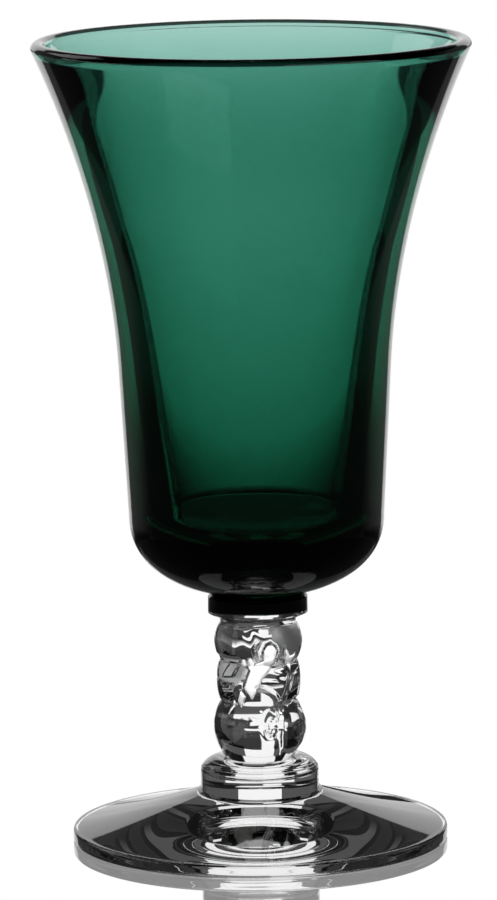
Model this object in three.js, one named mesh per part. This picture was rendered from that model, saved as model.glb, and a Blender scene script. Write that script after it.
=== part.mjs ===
// Footed juice glass: a bell-shaped green bowl on a thin green button, a pressed clear stem with
// scrolls and leaves in relief, a ridged clear collar, and a domed clear foot, flat underneath.
// Millimetres, +Z up. The origin is the middle of the foot's underside, and the richer side of the
// stem's relief faces -Y.

import * as THREE from 'three';

// Heights of the five pieces, which stand on one another
const FOOT_HEIGHT = 8.2;
const COLLAR_HEIGHT = 6.2;
const STEM_HEIGHT = 27.2;
const BUTTON_HEIGHT = 1.6;
const BOWL_HEIGHT = 96.8;

// Seats, each the underside of the next piece
const COLLAR_Z = FOOT_HEIGHT;
const STEM_Z = COLLAR_Z + COLLAR_HEIGHT;
const BUTTON_Z = STEM_Z + STEM_HEIGHT;
const BOWL_Z = BUTTON_Z + BUTTON_HEIGHT;

// Bowl: the wall leans out a little up to the start of the flare, then swings out to the lip
const BOWL_SEAT_RADIUS = 7.9;
const BOWL_HEEL_RADIUS = 22.2;
const BOWL_HEEL_HEIGHT = 14.2;
const BOWL_HEEL_POWER = 2.23;
const BOWL_TAPER = 4.5;
const BOWL_FLARE = 11.8;
const BOWL_FLARE_START_SHARE = 0.42;
const BOWL_FLARE_POWER = 1.94;

// Bowl walls, from the heel to the lip: thick at the bottom and thin at the lip
const HEEL_WALL = 7.5;
const LOWER_WALL = 5.3;
const MIDDLE_WALL = 4.6;
const UPPER_WALL = 3.8;
const LIP_WALL = 2.5;
const WALL_SHARES = [0.15, 0.45, 0.65, 0.93, 1];
const BOWL_FLOOR = 8.8;
const CAVITY_ROUND_HEIGHT = 7;

// Button under the bowl, and the cap of the stem that it is welded to
const BUTTON_RADIUS = 8.67;
const BUTTON_EDGE = 0.3;
const CAP_HEIGHT = 1.47;
const CAP_CHAMFER_HEIGHT = 0.95;

// Stem: three swellings one above the other, each between two necks
const STEM_SEAT_RADIUS = 5.85;
const LOWER_NECK_RADIUS = 5.8;
const MIDDLE_NECK_RADIUS = 6.5;
const UPPER_NECK_RADIUS = 6.6;
const CAP_NECK_RADIUS = 6.6;
const LOWER_SWELL = 1.72;
const MIDDLE_SWELL = 0.75;
const UPPER_SWELL = 1.05;
const LOWER_SWELL_END_SHARE = 0.371;
const MIDDLE_SWELL_END_SHARE = 0.633;
const UPPER_SWELL_END_SHARE = 0.88;
const LOWER_SWELL_POWER = 0.75;
const MIDDLE_SWELL_POWER = 0.5;
const UPPER_SWELL_POWER = 0.8;
const RELIEF_RADIUS = 7.5;

// Relief of the stem: how far leaves stand out, how deep lines are cut, and how wide
const LEAF_RELIEF = 0.42;
const LEAF_EDGE = 0.45;
const FACET_RELIEF = 0.4;
const LINE_DEPTH = 0.34;
const LINE_WIDTH = 0.34;
const VALLEY_DEPTH = 0.55;
const VALLEY_WIDTH = 0.75;
const CURL_RELIEF = 0.45;
const KNOB_RELIEF = 0.4;
const EYE_DEPTH = 0.5;
const EYE_RADIUS = 0.42;
const DISC_RELIEF = 0.5;
const DISC_RADIUS = 4.5;
const DISC_POWER = 4;
const DISC_EYE_RADIUS = 1.5;

// Collar: a round shoulder with cut lines and a bead, a plain drum, and a thin fin left by the mould
const COLLAR_RADIUS = 10.3;
const COLLAR_TOP_RADIUS = 6.95;
const SHOULDER_HEIGHT = 2.5;
const GROOVE_QUARTERS = [0.04, 0.34, 0.66];
const GROOVE_SPAN_QUARTERS = 0.035;
const GROOVE_DEPTH = 0.13;
const BEAD_QUARTER = 0.19;
const BEAD_SPAN_QUARTERS = 0.05;
const BEAD_RELIEF = 0.08;
const FIN_RADIUS = 11;
const FIN_HEIGHT = 0.55;

// Foot: a low cone from the upright rim to the seat of the collar, flat underneath
const FOOT_RADIUS = 32.75;
const FOOT_RIM_HEIGHT = 2.3;
const FOOT_RIM_ROUND = 0.8;
const FOOT_RIM_POWER = 4;
const FOOT_HUB_RADIUS = 10.9;
const FOOT_SWEEP = 0.35;

// Fineness of the round pieces and of the relief
const SEGMENTS = 48;
const HEEL_STEPS = 12;
const WALL_STEPS = 11;
const CURVE_STEPS = 6;
const STEM_COLUMNS = 64;
const STEM_ROWS = 54;

// Places on the relief, each as degrees round from the front and a share of the stem's height
const RIBBON_SHARES = [
  [-13, 0.614], [-21.8, 0.49], [-9.7, 0.408], [5, 0.558], [24, 0.655], [20, 0.708], [-5, 0.655],
];
const MIDDLE_LOBE_SHARES = [[-25.8, 0.49], [-17.5, 0.442], [-27.5, 0.339], [-32.6, 0.404]];
const OUTER_LOBE_SHARES = [[-37.7, 0.423], [-32.6, 0.39], [-41, 0.33], [-50.5, 0.253], [-45.6, 0.345]];
const RIGHT_LEAF_SHARES = [
  [33.6, 0.777], [46.8, 0.693], [60.9, 0.719], [52, 0.614], [48.8, 0.56], [36.7, 0.676],
];
const RIGHT_FACET_SHARES = [[52, 0.57], [78, 0.6], [70, 0.47], [44, 0.44]];
const UPPER_FACET_SHARES = [[-46, 0.657], [-24.8, 0.655], [-36, 0.554], [-61.5, 0.538]];
const LOWER_FACET_SHARES = [[-61, 0.506], [-36, 0.524], [-38, 0.468], [-60, 0.455]];
const CRESCENT_SHARES = [[1, 0.796], [-4, 0.77], [-5.5, 0.738], [-4, 0.706], [-1, 0.678]];
const CURL_LINE_SHARES = [
  [4.9, 0.67], [3.6, 0.73], [8.7, 0.783], [16.5, 0.798], [24.5, 0.766], [27.7, 0.727], [25, 0.66],
];
const VALLEY_SHARES = [[-1.5, 0.494], [8, 0.487], [17.9, 0.461], [25, 0.43], [31.9, 0.39]];
const DIVIDE_SHARES = [
  [48.8, 0.558], [41.4, 0.449], [31.9, 0.371], [26, 0.27], [25, 0.17], [29, 0.05],
];
const WAIST_NOTCH_SHARES = [[-92, 0.655], [-62, 0.668], [-30, 0.672]];
const FACET_NOTCH_SHARES = [[-92, 0.52], [-50, 0.515]];
const DISC_NOTCH_SHARES = [[62, 0.39], [92, 0.375]];
const CURL_CENTRE_SHARE = [15, 0.704];
const KNOB_CENTRE_SHARE = [-11.5, 0.648];
const EYE_CENTRE_SHARE = [31.9, 0.682];
const VOLUTE_CENTRE_SHARE = [15.5, 0.247];
const DISC_CENTRE_SHARE = [58, 0.199];
const CURL_SIZE_SHARES = [0.17, 0.27];
const KNOB_SIZE_SHARES = [0.08, 0.15];
const VOLUTE_SIZE_SHARES = [[0.17, 0.3], [0.08, 0.15]];

// One turned solid: the profile runs from the axis to the axis as [radius, height] pairs.
function turnedSolid(profile) {
  const points = profile.map(([radius, height]) => new THREE.Vector2(radius, height));
  const geometry = new THREE.LatheGeometry(points, SEGMENTS);
  geometry.rotateX(Math.PI / 2);
  return geometry;
}

// Points of an arc of an ellipse, both ends included, with angles in quarter turns. A power over 2
// makes the curve squarer.
function arcPoints(centre, radii, fromQuarter, toQuarter, steps, power = 2) {
  const points = [];
  for (let step = 0; step <= steps; step += 1) {
    const angle = (fromQuarter + (toQuarter - fromQuarter) * step / steps) * Math.PI / 2;
    const across = Math.cos(angle);
    const up = Math.sin(angle);
    points.push([
      centre[0] + radii[0] * Math.sign(across) * Math.abs(across) ** (2 / power),
      centre[1] + radii[1] * Math.sign(up) * Math.abs(up) ** (2 / power),
    ]);
  }
  return points;
}

// Outer radius of the bowl at a share of its height, above the heel.
function bowlRadius(share) {
  const heelShare = BOWL_HEEL_HEIGHT / BOWL_HEIGHT;
  const lean = BOWL_TAPER * (share - heelShare) / (1 - heelShare);
  const flareShare = Math.max(0, share - BOWL_FLARE_START_SHARE) / (1 - BOWL_FLARE_START_SHARE);
  return BOWL_HEEL_RADIUS + lean + BOWL_FLARE * flareShare ** BOWL_FLARE_POWER;
}

// Thickness of the bowl's wall at a share of its height.
function bowlWall(share) {
  const walls = [HEEL_WALL, LOWER_WALL, MIDDLE_WALL, UPPER_WALL, LIP_WALL];
  if (share <= WALL_SHARES[0]) {
    return walls[0];
  }
  const next = Math.max(1, WALL_SHARES.findIndex((station) => station >= share));
  const part = (share - WALL_SHARES[next - 1]) / (WALL_SHARES[next] - WALL_SHARES[next - 1]);
  return walls[next - 1] + (walls[next] - walls[next - 1]) * part;
}

// Wall of the bowl between two shares of its height, outside or inside.
function bowlWallPoints(fromShare, toShare, steps, inside) {
  const points = [];
  for (let step = 0; step <= steps; step += 1) {
    const share = fromShare + (toShare - fromShare) * step / steps;
    const inset = inside ? bowlWall(share) : 0;
    points.push([bowlRadius(share) - inset, BOWL_Z + BOWL_HEIGHT * share]);
  }
  return points;
}

// Bowl: seat, rounded heel, outer wall, round lip, inner wall and round cavity floor.
function makeBowl() {
  const heelShare = BOWL_HEEL_HEIGHT / BOWL_HEIGHT;
  const lipRadius = LIP_WALL / 2;
  const lipShare = 1 - lipRadius / BOWL_HEIGHT;
  const lipCentre = [bowlRadius(lipShare) - lipRadius, BOWL_Z + BOWL_HEIGHT - lipRadius];
  const cavityShare = (BOWL_FLOOR + CAVITY_ROUND_HEIGHT) / BOWL_HEIGHT;
  const cavityZ = BOWL_Z + BOWL_FLOOR + CAVITY_ROUND_HEIGHT;
  const cavityRadius = bowlRadius(cavityShare) - bowlWall(cavityShare);
  const heelTopZ = BOWL_Z + BOWL_HEEL_HEIGHT;
  const heelSize = [BOWL_HEEL_RADIUS, BOWL_HEEL_HEIGHT];
  const heel = arcPoints([0, heelTopZ], heelSize, -1, 0, HEEL_STEPS, BOWL_HEEL_POWER);
  const profile = [
    [0, BOWL_Z],
    [BOWL_SEAT_RADIUS, BOWL_Z],
    ...heel.filter(([radius]) => radius > BOWL_SEAT_RADIUS + BUTTON_EDGE),
    ...bowlWallPoints(heelShare, lipShare, WALL_STEPS, false).slice(1, -1),
    ...arcPoints(lipCentre, [lipRadius, lipRadius], 0, 2, CURVE_STEPS),
    ...bowlWallPoints(lipShare, cavityShare, WALL_STEPS, true).slice(1, -1),
    ...arcPoints([0, cavityZ], [cavityRadius, CAVITY_ROUND_HEIGHT], 0, -1, CURVE_STEPS),
  ];
  profile[profile.length - 1][0] = 0;
  return turnedSolid(profile);
}

// Button: a thin disc with small bevels, as wide as the cap of the stem below it.
function makeButton() {
  return turnedSolid([
    [0, BUTTON_Z],
    [BUTTON_RADIUS, BUTTON_Z],
    [BUTTON_RADIUS, BOWL_Z - BUTTON_EDGE],
    [BUTTON_RADIUS - BUTTON_EDGE, BOWL_Z],
    [0, BOWL_Z],
  ]);
}

// Distance from a place to one straight stretch between two points.
function stretchDistance(place, start, end) {
  const run = [end[0] - start[0], end[1] - start[1]];
  const offset = [place[0] - start[0], place[1] - start[1]];
  const along = (offset[0] * run[0] + offset[1] * run[1]) / (run[0] ** 2 + run[1] ** 2);
  const held = Math.min(1, Math.max(0, along));
  return Math.hypot(offset[0] - run[0] * held, offset[1] - run[1] * held);
}

// Place on the unrolled relief, in millimetres across and up.
function unrolled([degrees, share]) {
  return [THREE.MathUtils.degToRad(degrees) * RELIEF_RADIUS, share * STEM_HEIGHT];
}

// True where the place is inside the outline.
function isInside(place, outline) {
  let inside = false;
  outline.forEach((corner, index) => {
    const next = outline[(index + 1) % outline.length];
    const crosses = (corner[1] > place[1]) !== (next[1] > place[1]);
    const crossing = corner[0] + (next[0] - corner[0]) * (place[1] - corner[1]) / (next[1] - corner[1]);
    if (crosses && place[0] < crossing) {
      inside = !inside;
    }
  });
  return inside;
}

// Raised leaf or facet: its full height starts one edge width inside its outline.
function raisedPad(place, shares, height, edge) {
  const outline = shares.map(unrolled);
  if (!isInside(place, outline)) {
    return 0;
  }
  const distances = outline.map((corner, index) => {
    const next = outline[(index + 1) % outline.length];
    return stretchDistance(place, corner, next);
  });
  return height * THREE.MathUtils.smoothstep(Math.min(...distances), 0, edge);
}

// Line cut along a path, deepest in its middle.
function cutLine(place, shares, depth, width) {
  const path = shares.map(unrolled);
  let nearest = Infinity;
  for (let index = 1; index < path.length; index += 1) {
    nearest = Math.min(nearest, stretchDistance(place, path[index - 1], path[index]));
  }
  return -depth * (1 - THREE.MathUtils.smoothstep(nearest, 0, width));
}

// Round boss on an oval, highest in its middle.
function ovalBoss(place, centreShare, semiAxes, height) {
  const centre = unrolled(centreShare);
  const reach = Math.hypot((place[0] - centre[0]) / semiAxes[0], (place[1] - centre[1]) / semiAxes[1]);
  return reach < 1 ? height * Math.sqrt(1 - reach ** 2) : 0;
}

// Line cut round an oval, left open on its right side.
function openRing(place, centreShare, semiAxes, depth, width) {
  const centre = unrolled(centreShare);
  const across = (place[0] - centre[0]) / semiAxes[0];
  const up = (place[1] - centre[1]) / semiAxes[1];
  const reach = Math.hypot(across, up);
  const offset = Math.abs(reach - 1) * Math.min(...semiAxes);
  const closed = THREE.MathUtils.smoothstep(reach - across, 0, reach / 2);
  return -depth * closed * (1 - THREE.MathUtils.smoothstep(offset, 0, width));
}

// Disc of the lower right volute: a low dome with a cut ring and an eye.
function voluteDisc(place) {
  const centre = unrolled(DISC_CENTRE_SHARE);
  const reach = Math.hypot(place[0] - centre[0], place[1] - centre[1]);
  const dome = reach < DISC_RADIUS ? DISC_RELIEF * (1 - (reach / DISC_RADIUS) ** DISC_POWER) : 0;
  const offset = Math.abs(reach - DISC_EYE_RADIUS);
  const ring = -LINE_DEPTH * (1 - THREE.MathUtils.smoothstep(offset, 0, LINE_WIDTH));
  return dome + ring;
}

// Height of all the relief at a place given in degrees round from the front.
function reliefHeight(degrees, share) {
  const place = unrolled([degrees, share]);
  const semi = (shares) => shares.map((part) => part * RELIEF_RADIUS);
  return raisedPad(place, RIBBON_SHARES, LEAF_RELIEF, LEAF_EDGE)
    + raisedPad(place, MIDDLE_LOBE_SHARES, LEAF_RELIEF, LEAF_EDGE)
    + raisedPad(place, OUTER_LOBE_SHARES, LEAF_RELIEF, LEAF_EDGE)
    + raisedPad(place, RIGHT_LEAF_SHARES, LEAF_RELIEF, LEAF_EDGE)
    + raisedPad(place, RIGHT_FACET_SHARES, FACET_RELIEF, LEAF_EDGE)
    + raisedPad(place, UPPER_FACET_SHARES, FACET_RELIEF, LEAF_EDGE)
    + raisedPad(place, LOWER_FACET_SHARES, FACET_RELIEF, LEAF_EDGE)
    + cutLine(place, CRESCENT_SHARES, LINE_DEPTH, LINE_WIDTH)
    + cutLine(place, CURL_LINE_SHARES, LINE_DEPTH, LINE_WIDTH)
    + cutLine(place, VALLEY_SHARES, VALLEY_DEPTH, VALLEY_WIDTH)
    + cutLine(place, DIVIDE_SHARES, LINE_DEPTH, VALLEY_WIDTH)
    + cutLine(place, WAIST_NOTCH_SHARES, VALLEY_DEPTH, VALLEY_WIDTH)
    + cutLine(place, FACET_NOTCH_SHARES, LINE_DEPTH, LINE_WIDTH)
    + cutLine(place, DISC_NOTCH_SHARES, VALLEY_DEPTH, VALLEY_WIDTH)
    + ovalBoss(place, CURL_CENTRE_SHARE, semi(CURL_SIZE_SHARES), CURL_RELIEF)
    + ovalBoss(place, KNOB_CENTRE_SHARE, semi(KNOB_SIZE_SHARES), KNOB_RELIEF)
    - ovalBoss(place, EYE_CENTRE_SHARE, [EYE_RADIUS, EYE_RADIUS], EYE_DEPTH)
    + openRing(place, VOLUTE_CENTRE_SHARE, semi(VOLUTE_SIZE_SHARES[0]), VALLEY_DEPTH, VALLEY_WIDTH)
    + openRing(place, VOLUTE_CENTRE_SHARE, semi(VOLUTE_SIZE_SHARES[1]), LINE_DEPTH, LINE_WIDTH)
    + voluteDisc(place);
}

// Radius of one swelling at a share of its own height, between the necks below and above it.
function swelling(part, lowRadius, highRadius, swell, power) {
  return lowRadius + (highRadius - lowRadius) * part + swell * Math.sin(Math.PI * part) ** power;
}

// Plain radius of the stem at a share of its height: three swellings and the neck under the cap.
function swellRadius(share) {
  if (share < LOWER_SWELL_END_SHARE) {
    const part = share / LOWER_SWELL_END_SHARE;
    return swelling(part, LOWER_NECK_RADIUS, MIDDLE_NECK_RADIUS, LOWER_SWELL, LOWER_SWELL_POWER);
  }
  if (share < MIDDLE_SWELL_END_SHARE) {
    const part = (share - LOWER_SWELL_END_SHARE) / (MIDDLE_SWELL_END_SHARE - LOWER_SWELL_END_SHARE);
    return swelling(part, MIDDLE_NECK_RADIUS, UPPER_NECK_RADIUS, MIDDLE_SWELL, MIDDLE_SWELL_POWER);
  }
  if (share < UPPER_SWELL_END_SHARE) {
    const part = (share - MIDDLE_SWELL_END_SHARE) / (UPPER_SWELL_END_SHARE - MIDDLE_SWELL_END_SHARE);
    return swelling(part, UPPER_NECK_RADIUS, CAP_NECK_RADIUS, UPPER_SWELL, UPPER_SWELL_POWER);
  }
  return CAP_NECK_RADIUS;
}

// Closed solid through rings of points, bottom to top, with flat ends.
function ringSolid(rings) {
  const columns = rings[0].length;
  const bottomCentre = new THREE.Vector3(0, 0, rings[0][0].z);
  const topCentre = new THREE.Vector3(0, 0, rings[rings.length - 1][0].z);
  const points = [...rings.flat(), bottomCentre, topCentre];
  const bottomIndex = points.length - 2;
  const topIndex = points.length - 1;
  const topStart = (rings.length - 1) * columns;
  const faces = [];
  for (let column = 0; column < columns; column += 1) {
    const next = (column + 1) % columns;
    for (let row = 0; row < rings.length - 1; row += 1) {
      const low = row * columns;
      const high = low + columns;
      faces.push(low + column, low + next, high + next, low + column, high + next, high + column);
    }
    faces.push(bottomIndex, next, column);
    faces.push(topIndex, topStart + column, topStart + next);
  }
  const geometry = new THREE.BufferGeometry().setFromPoints(points);
  geometry.setIndex(faces);
  return geometry;
}

// Ring of the stem at one height; the back half mirrors the front half, as from a two-part mould.
function stemRing(height, radiusAt) {
  const ring = [];
  for (let column = 0; column < STEM_COLUMNS; column += 1) {
    const turn = 360 * column / STEM_COLUMNS;
    const angle = THREE.MathUtils.degToRad(turn);
    const degrees = THREE.MathUtils.radToDeg(Math.atan2(Math.sin(angle), Math.abs(Math.cos(angle))));
    const radius = radiusAt(degrees);
    ring.push(new THREE.Vector3(radius * Math.sin(angle), -radius * Math.cos(angle), height));
  }
  return ring;
}

// Stem: its seat, the relief, the neck, and the cap that widens to the button.
function makeStem() {
  const capZ = BUTTON_Z - CAP_HEIGHT;
  const chamferZ = capZ - CAP_CHAMFER_HEIGHT;
  const rings = [stemRing(STEM_Z, () => STEM_SEAT_RADIUS)];
  for (let row = 1; row <= STEM_ROWS; row += 1) {
    const share = UPPER_SWELL_END_SHARE * row / (STEM_ROWS + 1);
    const radiusAt = (degrees) => swellRadius(share) + reliefHeight(degrees, share);
    rings.push(stemRing(STEM_Z + STEM_HEIGHT * share, radiusAt));
  }
  rings.push(stemRing(STEM_Z + STEM_HEIGHT * UPPER_SWELL_END_SHARE, () => CAP_NECK_RADIUS));
  rings.push(stemRing(chamferZ, () => CAP_NECK_RADIUS));
  rings.push(stemRing(capZ, () => BUTTON_RADIUS));
  rings.push(stemRing(BUTTON_Z, () => BUTTON_RADIUS));
  return ringSolid(rings);
}

// Shoulder of the collar from the drum to its flat top, with its cut lines and its bead. Places on
// it are quarter turns, each with how far the surface stands out there.
function shoulderPoints() {
  const marks = GROOVE_QUARTERS.flatMap((quarter) => [
    [quarter - GROOVE_SPAN_QUARTERS, 0],
    [quarter, -GROOVE_DEPTH],
    [quarter + GROOVE_SPAN_QUARTERS, 0],
  ]);
  marks.push([BEAD_QUARTER - BEAD_SPAN_QUARTERS, 0]);
  marks.push([BEAD_QUARTER, BEAD_RELIEF]);
  marks.push([BEAD_QUARTER + BEAD_SPAN_QUARTERS, 0]);
  for (let step = 1; step <= CURVE_STEPS; step += 1) {
    const quarter = step / CURVE_STEPS;
    const nearest = Math.min(...marks.map(([place]) => Math.abs(place - quarter)));
    if (nearest > BEAD_SPAN_QUARTERS) {
      marks.push([quarter, 0]);
    }
  }
  marks.sort((first, second) => first[0] - second[0]);
  return marks.map(([quarter, lift]) => {
    const angle = quarter * Math.PI / 2;
    const radius = COLLAR_TOP_RADIUS + (COLLAR_RADIUS - COLLAR_TOP_RADIUS + lift) * Math.cos(angle);
    return [radius, STEM_Z - SHOULDER_HEIGHT + (SHOULDER_HEIGHT + lift) * Math.sin(angle)];
  });
}

// Collar: the fin at the foot, the drum and the shoulder.
function makeCollar() {
  return turnedSolid([
    [0, COLLAR_Z],
    [FOOT_HUB_RADIUS, COLLAR_Z],
    [FIN_RADIUS, COLLAR_Z + FIN_HEIGHT / 2],
    [COLLAR_RADIUS, COLLAR_Z + FIN_HEIGHT],
    ...shoulderPoints(),
    [0, STEM_Z],
  ]);
}

// Foot: a flat underside, an upright rim with round edges, and a sweep up to the collar.
function makeFoot() {
  const rimSize = [FOOT_RIM_ROUND, FOOT_RIM_HEIGHT / 2];
  const rimCentre = [FOOT_RADIUS - FOOT_RIM_ROUND, FOOT_RIM_HEIGHT / 2];
  const sweep = [];
  for (let step = 1; step < CURVE_STEPS; step += 1) {
    const part = step / CURVE_STEPS;
    const radius = rimCentre[0] + (FOOT_HUB_RADIUS - rimCentre[0]) * part;
    const sag = FOOT_SWEEP * Math.sin(Math.PI * part);
    sweep.push([radius, FOOT_RIM_HEIGHT + (FOOT_HEIGHT - FOOT_RIM_HEIGHT) * part - sag]);
  }
  return turnedSolid([
    [0, 0],
    ...arcPoints(rimCentre, rimSize, -1, 1, CURVE_STEPS, FOOT_RIM_POWER),
    ...sweep,
    [FOOT_HUB_RADIUS, FOOT_HEIGHT],
    [0, FOOT_HEIGHT],
  ]);
}

// Named mesh of one piece in its own glass.
function addPiece(group, name, geometry, colour, roughness) {
  const material = new THREE.MeshStandardMaterial({ color: colour, roughness, metalness: 0 });
  const mesh = new THREE.Mesh(geometry, material);
  mesh.name = name;
  group.add(mesh);
}

const GREEN_GLASS = 0x1f6b57;
const CLEAR_GLASS = 0xdfe4e3;
const POLISHED = 0.05;
const PRESSED = 0.12;

const glass = new THREE.Group();
addPiece(glass, 'foot', makeFoot(), CLEAR_GLASS, POLISHED);
addPiece(glass, 'stem_collar', makeCollar(), CLEAR_GLASS, PRESSED);
addPiece(glass, 'stem', makeStem(), CLEAR_GLASS, PRESSED);
addPiece(glass, 'bowl_button', makeButton(), GREEN_GLASS, POLISHED);
addPiece(glass, 'bowl', makeBowl(), GREEN_GLASS, POLISHED);

export default glass;
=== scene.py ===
import math

import bpy
import numpy as np
from bpy.props import FloatProperty, FloatVectorProperty, IntProperty, PointerProperty
from mathutils import Matrix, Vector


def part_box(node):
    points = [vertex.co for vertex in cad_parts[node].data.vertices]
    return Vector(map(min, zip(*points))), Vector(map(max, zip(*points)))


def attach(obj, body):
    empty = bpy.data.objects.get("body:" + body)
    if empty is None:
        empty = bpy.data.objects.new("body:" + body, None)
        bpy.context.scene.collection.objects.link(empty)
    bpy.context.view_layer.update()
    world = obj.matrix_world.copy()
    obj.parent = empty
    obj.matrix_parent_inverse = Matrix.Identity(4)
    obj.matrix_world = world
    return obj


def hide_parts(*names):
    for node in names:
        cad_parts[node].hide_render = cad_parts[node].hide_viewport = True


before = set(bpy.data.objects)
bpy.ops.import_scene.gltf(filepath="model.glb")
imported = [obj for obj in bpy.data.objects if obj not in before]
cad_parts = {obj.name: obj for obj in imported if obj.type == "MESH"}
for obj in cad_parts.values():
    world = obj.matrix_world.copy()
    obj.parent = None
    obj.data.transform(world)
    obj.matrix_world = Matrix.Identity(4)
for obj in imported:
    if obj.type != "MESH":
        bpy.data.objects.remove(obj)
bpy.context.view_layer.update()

bl_info = {
    "name": "Footed juice glass",
    "version": (1, 0, 0),
    "blender": (4, 5, 0),
    "location": "3D View > Sidebar > Glass",
    "description": "Dresses a footed juice glass: green bell bowl, carved clear stem, ridged collar "
                   "and domed foot",
    "category": "Object",
}

MILLIMETRE = 0.001
# Points closer than this are one point
SAME_PLACE = 1e-6
BOXES = {name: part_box(name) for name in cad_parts}


def low(node):
    """Height of the lowest point of a node."""
    return BOXES[node][0].z


def high(node):
    """Height of the highest point of a node."""
    return BOXES[node][1].z


def widest(node):
    """Largest radius of a node that is round about the upright axis."""
    return BOXES[node][1].x


def length(name, description, millimetres):
    """A size of the object, written in millimetres and kept in metres."""
    return FloatProperty(name=name, description=description, default=millimetres * MILLIMETRE,
                         unit="LENGTH", precision=5)


def share(name, description, value):
    """A share or a plain number."""
    return FloatProperty(name=name, description=description, default=value, precision=4)


def angle(name, description, degrees):
    """An angle, written in degrees and kept in radians."""
    return FloatProperty(name=name, description=description, default=math.radians(degrees), subtype="ANGLE")


def tint(name, description, colour):
    """The colour that a metal lets through."""
    return FloatVectorProperty(name=name, description=description, subtype="COLOR", size=4, min=0, max=1,
                               default=colour)


class BowlSizes(bpy.types.PropertyGroup):
    """Sizes of the green bowl and of the button under it"""

    seat_radius: length("Seat radius", "Radius of the flat underside that is welded to the button", 7.9)
    heel_radius: length("Heel radius", "Outer radius at the top of the rounded heel", 22.2)
    heel_height: length("Heel height", "Height of the rounded heel above the seat", 14.2)
    heel_power: share("Heel power", "How square the heel's curve is; 2 is an ellipse", 2.23)
    taper: length("Taper", "How far the wall leans out from heel to lip, without the flare", 4.5)
    flare: length("Flare", "How far the lip swings out past the leaning wall", 11.8)
    flare_start: share("Flare start", "Share of the bowl's height where the flare starts", 0.42)
    flare_power: share("Flare power", "How late the flare swings out", 1.94)
    heel_wall: length("Heel wall", "Wall thickness at the heel", 7.5)
    lower_wall: length("Lower wall", "Wall thickness low in the bowl", 5.3)
    middle_wall: length("Middle wall", "Wall thickness at the middle of the bowl", 4.6)
    upper_wall: length("Upper wall", "Wall thickness just below the lip", 3.8)
    lip_wall: length("Lip wall", "Wall thickness at the fire-polished lip", 2.5)
    floor: length("Floor", "Thickness of the glass under the cavity", 8.8)
    cavity_round: length("Cavity round", "Height of the rounded bottom of the cavity", 7.0)
    button_edge: length("Button edge", "Width of the small bevel round the button", 0.3)


class StemSizes(bpy.types.PropertyGroup):
    """Sizes of the pressed stem and of its relief"""

    seat_radius: length("Seat radius", "Radius of the flat end that stands on the collar", 5.85)
    lower_neck: length("Lower neck", "Radius at the foot of the lowest swelling", 5.8)
    middle_neck: length("Middle neck", "Radius between the lower two swellings", 6.5)
    upper_neck: length("Upper neck", "Radius above and below the top swelling", 6.6)
    lower_swell: length("Lower swelling", "How far the lowest swelling stands out", 1.72)
    middle_swell: length("Middle swelling", "How far the middle swelling stands out", 0.75)
    upper_swell: length("Upper swelling", "How far the top swelling stands out", 1.05)
    relief_radius: length("Relief radius", "Radius at which the relief is unrolled", 7.5)
    leaf_relief: length("Leaf relief", "How far the leaves stand out", 0.42)
    leaf_edge: length("Leaf edge", "Width of the slope round a leaf or facet", 0.45)
    facet_relief: length("Facet relief", "How far the facets stand out", 0.4)
    line_depth: length("Line depth", "Depth of a fine cut line", 0.34)
    line_width: length("Line width", "Width of a fine cut line, from its middle", 0.34)
    valley_depth: length("Valley depth", "Depth of a broad valley", 0.55)
    valley_width: length("Valley width", "Width of a broad valley, from its middle", 0.75)
    curl_relief: length("Curl relief", "Height of the rolled leaf tip", 0.45)
    knob_relief: length("Knob relief", "Height of the small knob beside the curl", 0.4)
    eye_depth: length("Eye depth", "Depth of the round eye", 0.5)
    eye_radius: length("Eye radius", "Radius of the round eye", 0.42)
    disc_relief: length("Disc relief", "Height of the volute's disc", 0.5)
    disc_radius: length("Disc radius", "Radius of the volute's disc", 4.5)
    disc_eye: length("Disc eye", "Radius of the ring cut in the volute's disc", 1.5)
    back_share: share("Back share", "How deep the relief is on the back, as a share of the front", 0.35)
    satin_share: share("Satin share", "Share of the rolled tip that is satin", 0.9)
    cap_height: length("Cap height", "Height of the straight cap under the button", 1.47)
    cap_chamfer: length("Cap chamfer", "Height of the slope from the neck out to the cap", 0.95)


class CollarSizes(bpy.types.PropertyGroup):
    """Sizes of the ridged collar"""

    drum_radius: length("Drum radius", "Radius of the plain drum", 10.3)
    top_radius: length("Top radius", "Radius of the flat top", 6.95)
    shoulder_height: length("Shoulder height", "Height of the round shoulder", 2.5)
    groove_depth: length("Groove depth", "Depth of a line cut round the shoulder", 0.1)
    groove_half: length("Groove half width", "Half the width of a line cut round the shoulder", 0.16)
    bead_relief: length("Bead relief", "How far the bead stands out", 0.06)
    bead_half: length("Bead half width", "Half the width of the bead", 0.22)
    hub_radius: length("Hub radius", "Radius where the collar meets the foot", 10.9)
    fin_height: length("Fin height", "Height of the fin left by the mould", 0.55)


class FootSizes(bpy.types.PropertyGroup):
    """Sizes of the foot"""

    rim_height: length("Rim height", "Height of the round rim", 2.3)
    rim_round: length("Rim round", "How far the rim's curve reaches in", 0.8)
    rim_power: share("Rim power", "How square the rim is; 2 is an ellipse", 4)
    sweep: length("Sweep", "How far the upper side sags below a straight cone", 0.35)


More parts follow.
